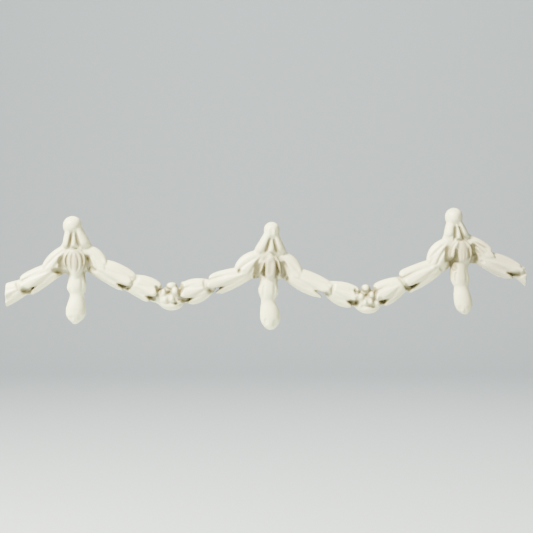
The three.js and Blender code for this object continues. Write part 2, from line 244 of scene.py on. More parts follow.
husk = {
    'rings': 16,
    'facets': 8,                    # across the front of each petal
    'shoulder': 0.45,               # share of the length where it reaches its full rise
    'bowPlace': 0.6,                # share of an edge where it bows most
    'flareFrom': 0.75,              # share of the length where it starts to flare
    'edgeNotch': 0.04,              # beside the two outer edges
    'lipSteps': (25, 50, 70, 86),   # degrees round the rolled lip
    'lipDraw': 0.7,                 # how much of the lip's drop its width follows
    'narrowest': 0.3,               # mm, half across a ring
    'lowest': 0.2,                  # mm, half up a ring
}


def drawHusk(name, neck, tips, bows, width, rise, firstRise, notches, groove, lip, keel, reaches=(1, 1, 1),
             flare=0.06, fall=0):
    # a husk between two bowed edges, with a ridge to the tip of each petal, notches between and a rolled lip
    first, middleTip, last = tips
    ahead = math.atan2(middleTip[1] - neck[1], middleTip[0] - neck[0])
    side = (-math.sin(ahead), math.cos(ahead))
    length = math.hypot(middleTip[0] - neck[0], middleTip[1] - neck[1])

    def aside(tip):
        return (tip[0] - neck[0]) * side[0] + (tip[1] - neck[1]) * side[1]

    def edgeTo(tip, sign, bow):
        start = (neck[0] + side[0] * sign * width / 2, neck[1] + side[1] * sign * width / 2)
        run = (tip[0] - start[0], tip[1] - start[1])
        bend = (start[0] + run[0] * husk['bowPlace'] - run[1] * sign * bow,
                start[1] + run[1] * husk['bowPlace'] + run[0] * sign * bow)
        return start, bend, tip

    isTurned = aside(first) < aside(last)
    upper = edgeTo(last, 1, bows[1]) if isTurned else edgeTo(first, 1, bows[0])
    lower = edgeTo(first, -1, bows[0]) if isTurned else edgeTo(last, -1, bows[1])
    petals = list(reversed(reaches)) if isTurned else list(reaches)
    near, far = (notches[1], notches[0]) if isTurned else notches
    edge = rise * casting['rim']
    rings, flareFrom, narrowest, lowest = husk['rings'], husk['flareFrom'], husk['narrowest'], husk['lowest']
    ridge = (neck, ((neck[0] + middleTip[0]) / 2, (neck[1] + middleTip[1]) / 2), middleTip)

    stations = []
    for k in range(rings + 1):
        share = math.sin(math.pi / 2 * k / rings) * (1 - lip / length)
        a, b = curveAt(*upper, share), curveAt(*lower, share)
        before = max(0, 1 - share / husk['shoulder'])
        flared = 1 + flare * max(0, share - flareFrom) / (1 - flareFrom)
        top = rise * (firstRise + (1 - firstRise) * (1 - before ** 2)) * flared
        heading = math.atan2(a[1] - b[1], a[0] - b[0]) - math.pi / 2
        stations.append(((a[0] + b[0]) / 2, (a[1] + b[1]) / 2, heading,
                         max(narrowest, math.hypot(a[0] - b[0], a[1] - b[1]) / 2), max(lowest, top - edge)))
    x, z, heading, half, high = stations[-1]
    for degrees in husk['lipSteps']:
        over, drop = lip * math.sin(math.radians(degrees)), lip * (1 - math.cos(math.radians(degrees)))
        stations.append((x + math.cos(heading) * over, z + math.sin(heading) * over, heading,
                         max(narrowest, half - drop * husk['lipDraw']), max(lowest, high - drop)))

    sides = 2 * husk['facets'] * len(petals)
    piece = drawOut(name, stations, edge, sides)
    sheet = bmesh.from_edit_mesh(piece.data)
    sheet.verts.ensure_lookup_table()
    for corner in sheet.verts:
        k, j = divmod(corner.index, sides)
        share = math.sin(math.pi / 2 * min(k, rings) / rings)
        turn = (j - sides / 4) / (sides / 2)
        middle = curveAt(*ridge, share)
        x, z, heading, half, high = stations[min(k, rings)]
        if turn < 0 or turn > 1:
            back = far * length * share ** 2
            corner.co.x -= math.cos(ahead) * back * mm
            corner.co.z -= math.sin(ahead) * back * mm
            continue
        petal = min(len(petals) - 1, int(turn * len(petals)))
        off = abs(turn * len(petals) - petal - 0.5) * 2
        across = abs(math.cos(math.pi * turn))
        isEdge = turn < 0.01 or turn > 0.99
        notch = husk['edgeNotch'] if isEdge else (near if turn < 0.5 else far)
        back = (1 - petals[petal] * (1 - notch * off ** 2)) * length * share ** 1.5
        corner.co.x += ((middle[0] - x) * (1 - across) - math.cos(ahead) * back) * mm
        corner.co.z += ((middle[1] - z) * (1 - across) - math.sin(ahead) * back) * mm
        if not isEdge:
            height = -corner.co.y / mm - edge
            sunk = groove * share ** 1.5 * off ** 4 - (keel * share * (1 - off) ** 1.5 if petal == 1 else 0)
            lowered = 1 - fall * (1 - turn if isTurned else turn)
            corner.co.y = -(edge + max(0, height * (1 - sunk) * lowered)) * mm
    bmesh.update_edit_mesh(piece.data)
    standOnBack(piece, edge)
    return piece


crown = {
    'reach': 20,                    # mm from the heart out to the side husks' tips
    'rise': 9.5,
    'rootDrop': 9,                  # below the heart, where the garlands spring
    'sheetRim': 2.2,                # mm that a crest or pendant stands straight up
    'bulbRim': 4,
    'knob': {'blunt': 0.5, 'roll': 0.55, 'sides': 32, 'rings': 20},
    'lobe': {'first': 0.6, 'firstRise': 0.95, 'peak': 0.7, 'roll': 0.6, 'rim': 0.38},
    'teardropRise': 8.5,
    'teardrop': {'first': 0.1, 'firstRise': 0.85, 'peak': 0.75, 'roll': 0.85, 'rim': 0.6},
    'bodyRun': (3, -17),            # mm above the heart, from its top to its foot
    'bodyWidth': 21,
    'bodyRise': 0.56,               # share of the rise
    'body': {'first': 0.7, 'firstRise': 1, 'peak': 0.6},
    'huskNeck': (2.4, -1.6),        # mm from the heart
    'huskWidth': 0.5,               # share of the reach
    'huskRise': 0.86,               # share of the rise
    'sideHusk': {'firstRise': 0.7, 'notches': (0.06, 0.14), 'groove': 0.2, 'fall': 0.5, 'lip': 1.8, 'keel': 0.05},
    'petal': {'first': 0.4, 'firstRise': 0.86, 'peak': 0.5, 'roll': 0.72, 'rim': 0.6, 'rings': 20, 'sides': 32},
}

# Everything on a crown is in mm from its heart. A knob is its place across, its top, its foot and its width, a
# slice is height, left edge, right edge and rise, a lobe is start, bend, tip, width and rise, a petal has its
# pointedness too, a teardrop is start, tip and width, a cut is start, bend, end, width and depth, and the painted
# shade round the bellflower, where it sits low between the side husks, is its place and reach. A side husk's tips
# are shares of the reach, outwards and down.
crowns = {
    'left': {
        'heart': (-118.2, 3.5), 'lean': 0, 'bloomShade': (0.4, -7.4, 13.5),
        'knob': (-1.3, 18.9, 7.0, 11.3),
        'crest': (
            (14.3, -5.9, 3.4, 9.1), (11.3, -5.9, 4.0, 8.7), (9.4, -5.2, 4.7, 8.2), (7.5, -5.3, 5.7, 7.9),
            (5.2, -5.9, 7.2, 7.6), (3.0, -6.5, 8.3, 7.4), (1.0, -7.0, 9.2, 7.2), (-1.2, -7.2, 8.6, 6.8),
            (-4.0, -5.5, 6.5, 5.8),
        ),
        'lobes': (
            ((-2.2, 13.8), (-3.8, 4.6), (-4.6, -2.6), 6.2, 8.2), ((1.0, 13.8), (3.6, 5.0), (8.8, -2.2), 7.2, 8.2),
        ),
        'teardrop': ((0.1, 9.8), (0, -0.6), 4.3),
        'leftHusk': {
            'tips': ((-1, 0.58), (-0.8, 0.74), (-0.32, 0.8)), 'reaches': (1, 1, 0.95), 'bows': (0.2, -0.04),
        },
        'rightHusk': {
            'tips': ((1, 0.42), (0.89, 0.68), (0.38, 0.72)), 'reaches': (1, 1, 0.9), 'bows': (0.28, -0.04),
        },
        'petals': (
            ((-1.9, -1.8), (-9.4, -6.8), (-2.6, -14.0), 2.0, 8.0, 0.9),
            ((3.0, -1.6), (9.4, -6.2), (4.2, -13.4), 2.0, 8.0, 0.9),
        ),
        'bulb': (
            (0.6, -3.2, 3.4, 6.4), (-1.6, -4.6, 4.8, 7.9), (-4.6, -6.1, 6.4, 8.8), (-7.4, -6.4, 7.0, 9.2),
            (-10.2, -5.8, 6.8, 9.3), (-12.8, -4.2, 6.0, 9.1), (-15.2, -2.6, 4.8, 8.6), (-17.4, -1.6, 3.8, 7.8),
            (-19, -0.8, 3.0, 7.0),
        ),
        'pendant': (
            (-12, -3.6, 5.6, 5.6), (-15, -3.6, 6.0, 6.4), (-18, -3.5, 6.4, 6.9), (-21.5, -4.2, 7.0, 7.2),
            (-24.4, -4.8, 6.8, 7.0), (-26.4, -3.8, 6.3, 6.3), (-27.9, -2.8, 5.8, 5.7), (-29.6, -2.9, 5.5, 5.9),
            (-32.8, -4.0, 6.0, 6.8), (-36.3, -5.2, 6.8, 7.4), (-40.3, -5.3, 6.7, 7.3), (-43.0, -3.9, 5.0, 6.5),
            (-44.9, -2.1, 2.7, 5.2), (-46.0, -0.9, 0.8, 3.0),
        ),
        'cuts': (
            ((-0.9, 9.6), (-1.9, 4.3), (-3.4, -0.6), 2.3, 1.2), ((1.2, 9.6), (2.1, 4.3), (3.8, -0.4), 2.3, 1.2),
            ((-3.0, 9.5), (-0.2, 8.6), (3.0, 9.7), 2.6, 0.35), ((-2.4, -0.4), (0, -1.4), (2.5, -0.4), 1.6, 0.7),
            ((-1.2, -1.8), (-7.2, -7.0), (-2.2, -14.6), 1.6, 1.0),
            ((-0.2, -2.6), (-1.8, -8.5), (-0.2, -15.0), 2.4, 0.9),
            ((1.0, -2.6), (4.6, -8.0), (1.8, -15.0), 2.2, 0.8), ((2.0, -1.8), (8.2, -7.0), (3.8, -14.2), 1.6, 1.0),
            ((-7.2, -5.0), (-8.6, -9.5), (-7.4, -14.4), 4.6, 1.7),
            ((-11.6, -13.6), (-8.0, -13.6), (-3.8, -16.6), 5.0, 2.2),
            ((7.9, -4.4), (9.4, -8.5), (8.4, -13.6), 4.6, 1.7),
            ((-5.4, -1.3), (-11.4, -5.0), (-16.4, -11.2), 2.3, 0.4),
            ((-5.0, -3.6), (-9.0, -7.5), (-12.6, -13.0), 2.9, 0.8),
            ((-10.2, -14.6), (-10.2, -14.8), (-9.8, -15.2), 2.7, 1.4),
            ((-7.4, -15.4), (-7.2, -15.6), (-7, -15.8), 2.5, 1.2),
            ((7.9, -0.6), (13.9, -4.2), (18.0, -8.6), 1.8, 0.3),
            ((7.2, -2.2), (11.8, -6.4), (15.6, -12.6), 2.2, 0.6),
            ((6.9, -4.0), (9.6, -7.6), (10.9, -11.8), 2.5, 1.2),
            ((11.0, -12.4), (11.6, -13.0), (12.6, -13.6), 3.2, 1.2),
            ((8.5, -12.4), (8.5, -12.6), (8.6, -12.8), 2.5, 1.0),
            ((-1.9, -18.7), (-2.6, -22.5), (-1.2, -26.4), 2.2, 0.7),
            ((4.4, -18.7), (5.1, -22.5), (4.0, -26.4), 2.2, 0.7),
            ((-1.6, -42.0), (-1.4, -42.4), (-1.2, -42.8), 3.2, 0.5),
            ((3.4, -41.4), (3.2, -41.8), (3.0, -42.4), 3.2, 0.5),
        ),
    },
    'centre': {
        'heart': (0, 0), 'lean': 0, 'bloomShade': (-0.6, -8.0, 14),
        'knob': (0.3, 18.9, 6.4, 9.5),
        'crest': (
            (14.4, -3.8, 4.4, 9.1), (11.0, -4.1, 4.4, 8.7), (9.2, -4.0, 4.6, 8.2), (6.9, -5.3, 5.5, 7.9),
            (4.7, -7.4, 6.6, 7.6), (2.8, -8.8, 7.4, 7.4), (0.9, -9.6, 8.3, 7.2), (-1.2, -9.4, 8.8, 6.8),
            (-4.0, -7.5, 7.0, 5.8),
        ),
        'lobes': (
            ((-1.2, 13.8), (-3.0, 5.6), (-9.4, -1.8), 7.0, 8.2), ((1.8, 13.8), (3.2, 5.6), (7.6, -2.2), 6.2, 8.2),
        ),
        'teardrop': ((0.4, 9.8), (0, -0.5), 5.0),
        'leftHusk': {
            'tips': ((-1.14, 0.44), (-0.87, 0.63), (-0.44, 0.78)), 'reaches': (1, 1, 1), 'bows': (0.31, -0.02),
        },
        'rightHusk': {
            'tips': ((0.95, 0.57), (0.81, 0.7), (0.38, 0.8)), 'reaches': (1, 1, 0.96), 'bows': (0.3, -0.02),
        },
        'petals': (
            ((0, -0.4), (-0.2, -8.5), (-1.2, -17.2), 7.4, 9.5, 0.7),
            ((-1.8, -2.0), (-4.9, -6.6), (-7.4, -12.8), 2.2, 8.6, 0.9),
            ((2.3, -2.0), (4.8, -5.2), (5.7, -12.6), 2.2, 8.6, 0.9),
        ),
        'pendant': (
            (-12, -6.0, 4.6, 5.6), (-15, -6.4, 4.0, 6.4), (-18, -7.0, 3.7, 6.9), (-21.5, -7.9, 4.3, 7.2),
            (-24.2, -7.5, 4.3, 7.0), (-26.4, -6.5, 3.0, 6.3), (-28, -6.1, 2.3, 5.7), (-29.8, -6.1, 2.6, 5.9),
            (-32.8, -6.6, 4.2, 6.8), (-36.3, -6.8, 5.2, 7.3), (-39.6, -6.6, 5.6, 7.4), (-42.0, -5.8, 4.8, 7.0),
            (-44.2, -4.2, 3.1, 6.0), (-45.6, -2.6, 1.4, 4.2), (-46, -1.6, 0.4, 3.0),
        ),
        'cuts': (
            ((-0.5, 9.8), (-2.0, 4.8), (-3.6, 0), 2.3, 1.2), ((1.3, 9.8), (2.3, 4.8), (3.7, 0.1), 2.3, 1.2),
            ((0.3, 14.2), (0.2, 11.5), (0.2, 8.4), 3.6, 0.6), ((-2.2, -0.9), (0, -1.8), (2.2, -0.9), 1.9, 0.7),
            ((0, -3.4), (-0.4, -9.0), (-1.0, -14.8), 5.2, 1.0),
            ((-3.4, -3.0), (-4.7, -9.0), (-4.2, -15.4), 2.4, 1.2),
            ((3.4, -3.0), (4.0, -9.0), (2.6, -15.0), 2.4, 1.2),
            ((-7.2, -5.0), (-9.2, -10.5), (-8.4, -15.6), 5.2, 2.0),
            ((6.6, -4.6), (8.0, -9.5), (7.0, -15.0), 5.0, 2.0),
            ((-7.6, -2.0), (-14.0, -5.0), (-19.4, -10.4), 2.5, 0.5),
            ((-6.0, -2.6), (-10.4, -7.0), (-13.6, -13.2), 2.7, 0.9),
            ((-18.8, -10.4), (-18.9, -10.6), (-19.0, -11), 2.9, 1.2),
            ((7.0, -2.4), (13.0, -6.4), (17.2, -13.0), 2.3, 0.5),
            ((6.6, -4.2), (10.4, -9.0), (12.4, -14.4), 2.7, 0.9),
            ((9.4, -14.4), (9.5, -14.8), (9.6, -15.4), 2.7, 1.7),
            ((-10.0, -13.8), (-9.8, -14.4), (-9.8, -15.0), 2.7, 1.7),
            ((-4.0, -18.7), (-5.2, -22.5), (-4.2, -26.4), 2.2, 0.7),
            ((1.6, -18.7), (2.3, -22.5), (1.0, -26.4), 2.2, 0.7),
            ((-3.3, -40.0), (-3.4, -40.8), (-3.0, -41.6), 3.0, 0.8),
            ((2.2, -40.6), (2.2, -41.4), (1.8, -42.2), 3.0, 0.8),
        ),
    },
    'right': {
        'heart': (112.6, 8.6), 'lean': 6.6, 'bloomShade': (3.0, -8.4, 14.4),
        'knob': (-2.9, 18.75, 7.0, 10.4),
        'crest': (
            (13.6, -7.6, 1.8, 9.1), (9.9, -7.2, 1.5, 8.6), (8.0, -6.7, 1.9, 8.1), (5.4, -7.3, 3.8, 7.7),
            (3.1, -8.7, 4.9, 7.4), (0.9, -9.5, 6.2, 7.2), (-1.0, -9.4, 7.4, 6.9), (-4.0, -7.5, 6.6, 5.8),
        ),
        'lobes': (
            ((-4.0, 13.4), (-4.8, 5.4), (-6.2, -0.8), 6.8, 8.3), ((-1.4, 13.4), (1.2, 6.0), (5.6, -1.2), 5.2, 8.3),
        ),
        'teardrop': ((-1.5, 9.6), (0, -1.0), 4.3),
        'leftHusk': {
            'tips': ((-1.06, 0.53), (-0.85, 0.78), (-0.48, 0.92)), 'reaches': (1, 1, 1), 'bows': (0.32, 0),
        },
        'rightHusk': {
            'tips': ((0.93, 0.34), (0.95, 0.62), (0.38, 0.83)), 'reaches': (1, 1, 1), 'bows': (0.13, -0.02),
        },
        'petals': (
            ((0.2, 0.3), (0.4, -5.0), (1.2, -11.0), 11.0, 8.3, 0.6),
            ((0.8, -1.4), (2.6, -8.0), (2.4, -15.8), 8.4, 9.0, 0.55),
            ((-0.8, -1.2), (-3.6, -6.2), (-5.0, -13.2), 4.2, 9.5, 0.9),
            ((3.6, -1.7), (8.4, -5.7), (6.0, -13.6), 2.4, 8.4, 0.9),
        ),
        'pendant': (
            (-12, -2.6, 7.6, 5.6), (-15, -4.6, 6.2, 6.4), (-18, -5.2, 5.4, 6.9), (-21.5, -5.2, 6.0, 7.1),
            (-24, -4.8, 6.7, 7.0), (-26.6, -3.8, 6.3, 6.3), (-28.4, -2.6, 5.9, 5.7), (-30, -2.6, 6.0, 5.9),
            (-33, -2.9, 7.0, 6.8), (-36.5, -2.8, 8.2, 7.3), (-40, -2.1, 8.5, 7.4), (-42.6, -0.8, 7.6, 6.7),
            (-44.2, 1.0, 6.2, 5.6), (-45.2, 2.8, 4.8, 3.6),
        ),
        'cuts': (
            ((-2.6, 9.2), (-2.7, 3.4), (-2.9, -1.0), 2.3, 1.2), ((-0.4, 8.6), (1.0, 4.0), (2.6, -0.4), 2.1, 1.1),
            ((-5.6, 9.4), (-3.0, 8.8), (0, 9.4), 2.4, 0.35), ((-1.9, -0.4), (0, -1.0), (2.2, -0.6), 1.5, 0.8),
            ((-2.2, -5.0), (-2.2, -9.0), (-3.2, -13.4), 2.3, 1.6),
            ((-4.4, -12.6), (-4.2, -15.0), (-3.0, -17.4), 4.8, 2.2),
            ((5.6, -4.4), (6.2, -8.0), (5.6, -12.6), 1.6, 0.9), ((1.4, -6.4), (1.7, -10.0), (1.5, -14.0), 1.0, 0.4),
            ((3.2, -6.4), (3.6, -10.0), (3.2, -13.6), 1.0, 0.4), ((8.6, -4.4), (9.8, -8.5), (8.4, -13.6), 4.8, 2.0),
            ((-6.2, -3.8), (-7.8, -9.0), (-7.0, -14.0), 4.4, 1.8),
            ((-8.0, -2.4), (-14.6, -7.6), (-18.4, -12.6), 2.5, 0.5),
            ((-7.4, -4.6), (-11.4, -9.6), (-13.8, -16.2), 2.7, 0.8),
            ((-11.4, -17.4), (-10.9, -18), (-10.4, -18.6), 2.5, 1.0),
            ((7.4, -1.2), (13.0, -3.4), (17.6, -6.6), 1.5, 0.9),
            ((7.6, -3.0), (12.6, -5.8), (16.6, -9.6), 1.5, 0.9),
            ((7.8, -5.0), (11.6, -8.0), (14.4, -12.0), 1.9, 0.7),
            ((8.0, -7.4), (10.2, -10.0), (11.8, -13.6), 2.1, 0.9),
            ((13.6, -13.4), (13.9, -13.6), (14.2, -13.8), 2.7, 0.7),
            ((-1.4, -19.4), (-3.0, -22.5), (-1.4, -26.6), 2.2, 0.7),
            ((3.6, -18.8), (4.6, -22.5), (3.8, -26.6), 2.2, 0.7),
            ((0.6, -40.6), (0.8, -41.2), (1.2, -42.0), 3.1, 0.7),
            ((3.4, -42.4), (3.2, -43.0), (3.4, -43.6), 2.2, 0.9),
        ),
    },
}


def placeOn(shape, p):
    return shape['heart'][0] + p[0], shape['heart'][1] + p[1]


def leaned(shape, p):
    # turned with the crown, whose foot swings to the right
    lean = math.radians(shape['lean'])
    return p[0] * math.cos(lean) - p[1] * math.sin(lean), p[0] * math.sin(lean) + p[1] * math.cos(lean)


def rootOf(shape):
    # where a crown's garlands spring
    return placeOn(shape, leaned(shape, (0, -crown['rootDrop'])))


def buildCrest(side, shape):
    across, top, foot, width = shape['knob']
    pieces = [
        drawBud(side + 'Knob', placeOn(shape, (across, top)), placeOn(shape, (across, foot)), width,
                crown['rise'], peak=width / 2 / (top - foot), **crown['knob']),
        drawSlices(side + 'Crest', shape['heart'], shape['crest'], crown['sheetRim']),
    ]
    for start, bend, tip, wide, rise in shape['lobes']:
        pieces.append(drawBud(side + 'Lobe', placeOn(shape, start), placeOn(shape, tip), wide, rise,
                              bend=placeOn(shape, bend), **crown['lobe']))
    start, tip, wide = shape['teardrop']
    pieces.append(drawBud(side + 'Teardrop', placeOn(shape, start), placeOn(shape, tip), wide,
                          crown['teardropRise'], **crown['teardrop']))
    return pieces


def buildBloom(side, shape):
    reach, rise = crown['reach'], crown['rise']
    top, foot = crown['bodyRun']
    pieces = [drawBud(side + 'Body', placeOn(shape, (0, top)), placeOn(shape, (0, foot)), crown['bodyWidth'],
                      rise * crown['bodyRise'], **crown['body'])]
    across, up = crown['huskNeck']
    for sign, sideHusk in ((-1, shape['leftHusk']), (1, shape['rightHusk'])):
        tips = [placeOn(shape, leaned(shape, (tip[0] * reach, -tip[1] * reach))) for tip in sideHusk['tips']]
        pieces.append(drawHusk(side + 'SideHusk', placeOn(shape, (sign * across, up)), tips,
                               bows=sideHusk['bows'], width=reach * crown['huskWidth'],
                               rise=rise * crown['huskRise'], reaches=sideHusk['reaches'], **crown['sideHusk']))
    if 'bulb' in shape:
        pieces.append(drawSlices(side + 'Bulb', shape['heart'], shape['bulb'], crown['bulbRim']))
    for start, bend, tip, wide, high, point in shape['petals']:
        pieces.append(drawBud(side + 'Petal', placeOn(shape, start), placeOn(shape, tip), wide, high,
                              bend=placeOn(shape, bend), point=point, **crown['petal']))
    return pieces


garland = {
    'spread': 13.5,                 # mm across a husk's open mouth
    'rise': 6.8,
    'neckWidth': 7.5,
    'neckRise': 5.8,
    'rootRise': 3.6,                # where a garland comes out from under a crown
    'husk': {'notches': (0.06, 0.26), 'groove': 0.3, 'flare': 0.12, 'lip': 2, 'keel': 0.09},
    'grooves': ((2.6, 0.45), (3.2, 0.6)),  # width and depth, above and below each middle petal
    'grooveFrom': 0.25,             # share of the way from the neck
    'valleyWidth': 3.6,             # round a husk's mouth
    'valleyDepth': 1.1,
    'valleyLead': (1.2, 1.4, 0.8),  # mm beyond the upper, middle and lower tip
    'coreWidth': 5,
    'coreRise': 3.6,
    'ends': ((-159.4, -24.4), (152.9, -13)),
    'floorSpare': 0.85,             # share of its width that a pocket's floor runs on at each end
    # dark pockets between a husk's tips and what springs from it: start, end, width, depth and rise of the floor
    # in mm, or 0 where the stem is floor enough
    'pockets': (
        ((-148.4, -21.6), (-145.8, -22.6), 4.4, 3.4, 3.0), ((-90.2, -19.2), (-86.2, -20.4), 4.0, 1.7, 4.0),
        ((-72.8, -26.2), (-71.0, -27.2), 4.2, 1.8, 3.8), ((-36.8, -21.8), (-34.4, -22.4), 3.0, 2.0, 0),
        ((31.0, -24.4), (33.0, -23.6), 3.0, 2.4, 0), ((47.8, -29.0), (50.4, -29.8), 4.2, 1.9, 3.8),
        ((51.4, -27.0), (51.0, -29.4), 3.0, 1.4, 3.8), ((65.2, -27.4), (67.6, -29.0), 4.0, 1.8, 3.8),
        ((81.4, -19.6), (82.6, -20.8), 4.2, 1.7, 3.8), ((144.8, -12.4), (148.0, -11.9), 4.0, 2.6, 3.4),
        ((-55.0, -27.8), (-51.0, -28.2), 3.4, 1.6, 3.8), ((-53.4, -19.4), (-53.8, -22.2), 3.0, 1.3, 4.2),
        ((50.4, -21.8), (50.9, -24.4), 2.8, 1.2, 4.2), ((62.2, -21.2), (62.8, -23.4), 2.6, 1.1, 4.2),
        ((-68.8, -20.2), (-68.0, -22.4), 3.0, 1.1, 4.2),
    ),
}

# each husk: neck, share of the neck width, the upper, middle and lower tips, and how far each edge bows out
garlands = [
    ('left', 'ends', 0, [
        ((0.14, 0.1), 1.05, ((0.74, 0.47), (0.77, -0.06), (0.68, -0.53)), (0.08, 0.02)),
        ((0.65, -0.04), 1.05, ((1.2, 0.5), (1.25, 0), (1.22, -0.5)), (0.05, 0.08))]),
    ('left', 'leftRosette', 0, [
        ((0.11, 0.15), 1.05, ((0.63, 0.4), (0.58, -0.07), (0.53, -0.53)), (0.16, 0.03)),
        ((0.56, -0.05), 1.35, ((0.9, 0.35), (0.84, -0.13), (0.81, -0.62)), (0.2, 0.02))]),
    ('centre', 'leftRosette', 0, [
        ((0.1, 0.11), 0.65, ((0.59, 0.47), (0.63, -0.01), (0.56, -0.52)), (0.07, 0.05)),
        ((0.57, -0.04), 0.8, ((0.87, 0.43), (0.88, -0.12), (0.85, -0.61)), (0.2, 0.22))]),
    ('centre', 'rightRosette', 1, [
        ((0.1, 0.07), 0.95, ((0.61, 0.24), (0.61, -0.14), (0.55, -0.63)), (0.1, 0.12)),
        ((0.56, -0.06), 0.95, ((0.9, 0.36), (0.89, -0.09), (0.87, -0.63)), (0.15, 0.22))]),
    ('right', 'rightRosette', 1, [
        ((0.1, 0.04), 0.8, ((0.63, 0.49), (0.59, -0.19), (0.59, -0.6)), (0.04, 0.1)),
        ((0.58, -0.06), 0.95, ((0.9, 0.46), (0.9, -0.2), (0.88, -0.67)), (0.12, 0.13))]),
    ('right', 'ends', 1, [
        ((0.18, 0.09), 0.85, ((0.88, 0.38), (0.93, 0.15), (0.8, -0.44)), (0.17, 0.05)),
        ((0.8, 0.05), 0.8, ((1.3, 0.35), (1.35, 0), (1.3, -0.75)), (0.05, 0))]),
]


def placerFor(side, endKind, endIndex):
    # from shares of a garland's run to mm on the face
    root = rootOf(crowns[side])
    end = rosettes[endKind]['middle'] if endKind in rosettes else garland['ends'][endIndex]
    run = (end[0] - root[0], end[1] - root[1])
    length = math.hypot(*run)
    up = (-run[1] / length, run[0] / length)
    if up[1] < 0:
        up = (-up[0], -up[1])

    def place(p):
        return (root[0] + run[0] * p[0] + up[0] * p[1] * garland['spread'],
                root[1] + run[1] * p[0] + up[1] * p[1] * garland['spread'])

    return place


def buildGarland(side, endKind, endIndex, husks):
    place = placerFor(side, endKind, endIndex)
    pieces = [drawBud(side + 'Core', place((0, 0)), place((1, 0)), garland['coreWidth'], garland['coreRise'],
                      first=1, point=0.1)]
    for index, (neck, share, tips, bows) in enumerate(husks):
        springs = garland['neckRise' if index else 'rootRise']
        pieces.append(drawHusk(side + 'Husk', place(neck), [place(tip) for tip in tips], bows=bows,
                               width=garland['neckWidth'] * share, rise=garland['rise'],
                               firstRise=springs / garland['rise'], **garland['husk']))
    return pieces


rosette = {
    'width': 15.6,
    'rise': 7.4,
    'baseReach': 0.72,              # share of the width to each side
    'baseDrop': 0.5,                # mm
    'baseTall': 0.76,               # share of the width
    'baseRise': 0.78,               # share of the rise
    'base': {'firstRise': 0.5, 'blunt': 0.5, 'roll': 0.5},
    'bowlTall': 5.6,
    'bowlRise': 0.8,                # share of the rise
    'bowl': {'blunt': 0.5, 'rings': 24, 'sides': 32},
    'berryReach': 0.56,             # share of a berry's height, up and down
    'berryWidth': 1.14,
    'berry': {'firstRise': 0.66, 'blunt': 0.5, 'roll': 0.5},
    'dab': 0.2,                     # mm to each side of a cut
}

# from a rosette's middle in mm, a berry is its place, width, height and share of the rise, a bowl is start, bend
# and tip, and a cut is its place, width and depth
rosettes = {
    'leftRosette': {
        'middle': (-60.52, -25.6),
        'berries': (
            (0.6, 5.7, 6.0, 4.4, 0.88), (2.8, 2.3, 5.2, 5.4, 1), (-4.1, 1.4, 4.4, 5.6, 0.92),
            (-3.2, -2.6, 5.6, 5.2, 0.94), (1.0, -2.2, 4.2, 5.2, 1), (5.4, -3.1, 4.0, 4.2, 0.84),
        ),
        'bowl': ((-8.0, -1.8), (-0.8, -9.0), (8.0, -3.8)),
        'cuts': ((-0.8, 2.0, 3.2, 1.8), (3.4, -4.4, 2.4, 0.8)),
    },
    'rightRosette': {
        'middle': (57.65, -27.4),
        'berries': (
            (-0.9, 6.0, 5.2, 4.8, 0.88), (2.5, 2.1, 4.6, 4.8, 1), (-3.8, 0.8, 4.8, 5.0, 0.95),
            (-1.4, -2.4, 4.2, 4.4, 1), (2.0, -1.9, 4.0, 4.2, 1), (5.7, -2.8, 4.2, 4.6, 0.88),
            (-4.2, -4.2, 3.6, 3.4, 0.82), (0.2, -5.4, 3.8, 3.2, 0.84),
        ),
        'bowl': ((-8.2, -1.8), (-0.2, -9.8), (8.4, -3.0)),
        'cuts': ((-0.4, 2.2, 2.8, 1.6), (3.3, -5.0, 2.4, 1.0)),
    },
}


def buildPocketFloors():
    pieces = []
    for start, end, width, _, rise in garland['pockets']:
        if rise:
            run = (end[0] - start[0], end[1] - start[1])
            spare = width * garland['floorSpare'] / math.hypot(*run)
            before = (start[0] - run[0] * spare, start[1] - run[1] * spare)
            after = (end[0] + run[0] * spare, end[1] + run[1] * spare)
            pieces.append(drawBud('PocketFloor', before, after, width, rise, blunt=0.5, firstRise=0.6))
    return pieces


def buildRosette(name, shape):
    x, z = shape['middle']
    width, rise = rosette['width'], rosette['rise']
    reach, low = width * rosette['baseReach'], z - rosette['baseDrop']
    start, bend, tip = [(x + p[0], z + p[1]) for p in shape['bowl']]
    pieces = [
        drawBud(name + 'Base', (x - reach, low), (x + reach, low), width * rosette['baseTall'],
                rise * rosette['baseRise'], **rosette['base']),
        drawBud(name + 'Bowl', start, tip, rosette['bowlTall'], rise * rosette['bowlRise'], bend=bend,
                **rosette['bowl']),
    ]
    for across, up, wide, tall, share in shape['berries']:
        half = tall * rosette['berryReach']
        pieces.append(drawBud(name + 'Berry', (x + across, z + up + half), (x + across, z + up - half),
                              wide * rosette['berryWidth'], rise * share, **rosette['berry']))
    return pieces


def selectOnly(pieces):
    bpy.ops.object.select_all(action='DESELECT')
    for piece in pieces:
        piece.select_set(True)
    bpy.context.view_layer.objects.active = pieces[0]


def skinOver(ornament, voxel, smoothing):
    # one closed skin round all that overlaps, softened
    skin = ornament.modifiers.new('skin', 'REMESH')
    skin.mode = 'VOXEL'
    skin.voxel_size = voxel * mm
    bpy.ops.object.modifier_apply(modifier='skin')
    soften = ornament.modifiers.new('soften', 'SMOOTH')
    soften.factor = casting['softness']
    soften.iterations = smoothing
    bpy.ops.object.modifier_apply(modifier='soften')
    print('skin:', len(ornament.data.polygons), 'faces')


